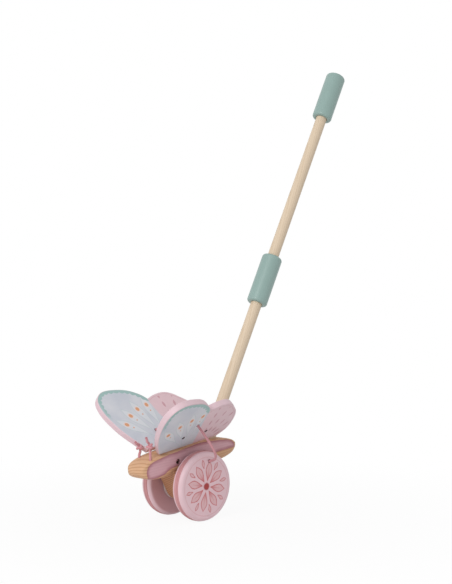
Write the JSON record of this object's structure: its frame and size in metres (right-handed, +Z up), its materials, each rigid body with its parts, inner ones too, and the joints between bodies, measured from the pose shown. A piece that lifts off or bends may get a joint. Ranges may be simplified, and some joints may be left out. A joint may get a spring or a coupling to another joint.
{
  "type": "push-along butterfly toy",
  "caption": "Wooden push-along butterfly with hinged wings tied by cords to the painted wheels, on a long jointed stick with a round grip.",
  "frame": {"origin": "On the floor under the centre of the whole toy's box, midway between the wheels; the toy stands on its wheel rings in the picture's pose.", "axes": "+Z up, -Y is the way the butterfly's head points, +X is the toy's left side; the stick leans back towards +Y."},
  "size_m": [0.1616, 0.3952, 0.6049],
  "materials": {
    "body_wood": "oiled, horizontal grain, mauve panels on the sides",
    "block_wood": "oiled, horizontal grain",
    "stick_wood": "smooth, clear matt varnish",
    "spacer_paint": "matt paint",
    "sage_paint": "satin paint",
    "wheel_paint": "satin paint with a flower print",
    "ring_rubber": "matt",
    "wing_print": "printed faces, pale pink edges",
    "rose_cord": "round waxed cord",
    "steel": "plated",
    "brass": "turned"
  },
  "bodies": {
    "chassis": {"body": "body_wood", "axle_block": "block_wood", "front_dowel": "body_wood", "rear_dowel": "body_wood", "left_spacer": "spacer_paint", "right_spacer": "spacer_paint", "left_antenna": "rose_cord", "right_antenna": "rose_cord", "lower_stick": "stick_wood", "upper_stick": "stick_wood", "middle_sleeve": "sage_paint", "grip": "sage_paint", "joining_screw": "steel", "insert_nut": "brass", "left_front_tie_cord": "rose_cord", "left_rear_tie_cord": "rose_cord", "right_front_tie_cord": "rose_cord", "right_rear_tie_cord": "rose_cord"},
    "wheels": {"axle": "steel", "left_wheel": "wheel_paint", "right_wheel": "wheel_paint", "left_wheel_ring": "ring_rubber", "right_wheel_ring": "ring_rubber"},
    "left_wing": {"left_wing": "wing_print", "left_flap_cord": "rose_cord"},
    "right_wing": {"right_wing": "wing_print", "right_flap_cord": "rose_cord"}
  },
  "joints": [
    {"name": "wheel_spin", "type": "hinge", "parent": "chassis", "child": "wheels", "pos_m": [0, -0.1062, 0.0435], "axis": [1, 0, 0], "continuous": true, "deforming": ["left_flap_cord", "right_flap_cord"]},
    {"name": "left_wing_flap", "type": "hinge", "parent": "chassis", "child": "left_wing", "pos_m": [0.0124, -0.11402, 0.09288], "axis": [0, -0.9877, -0.1564], "range_deg": [-48, 4], "deforming": ["left_front_tie_cord", "left_rear_tie_cord", "left_flap_cord"]},
    {"name": "right_wing_flap", "type": "hinge", "parent": "chassis", "child": "right_wing", "pos_m": [-0.0124, -0.11402, 0.09288], "axis": [0, 0.9877, 0.1564], "range_deg": [-48, 4], "deforming": ["right_front_tie_cord", "right_rear_tie_cord", "right_flap_cord"]}
  ],
  "couplings": [
    {"joint": "right_wing_flap", "follows": "left_wing_flap", "ratio": 1}
  ]
}
